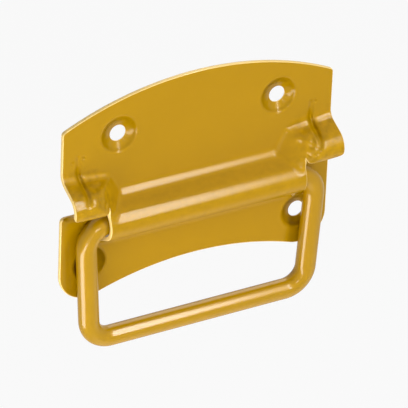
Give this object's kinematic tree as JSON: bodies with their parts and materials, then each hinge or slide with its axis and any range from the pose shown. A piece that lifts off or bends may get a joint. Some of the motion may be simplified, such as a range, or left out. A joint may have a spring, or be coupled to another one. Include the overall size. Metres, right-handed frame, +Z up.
{
  "type": "chest handle",
  "caption": "Pressed sheet-steel chest handle: an arched plate with a rolled bead holds a drop bail of bent round rod that swings out against a stop ear at each end.",
  "frame": {"origin": "on the plate's back face, midway between the two upper screw holes", "axes": "+X along the width, to the right seen from the room; +Y into the wall; +Z up"},
  "size_m": [0.1, 0.0115, 0.0931],
  "materials": {
    "plate_steel": "zinc plated and yellow passivated, semi-gloss",
    "bail_steel": "zinc plated and yellow passivated, semi-gloss"
  },
  "bodies": {
    "plate": {"mounting_plate": "plate_steel"},
    "bail": {"bail_handle": "bail_steel"}
  },
  "joints": [
    {"name": "bail_hinge", "type": "hinge", "parent": "plate", "child": "bail", "pos_m": [0, -0.0054, -0.0297], "axis": [-1, 0, 0], "range_deg": [0, 112]}
  ]
}
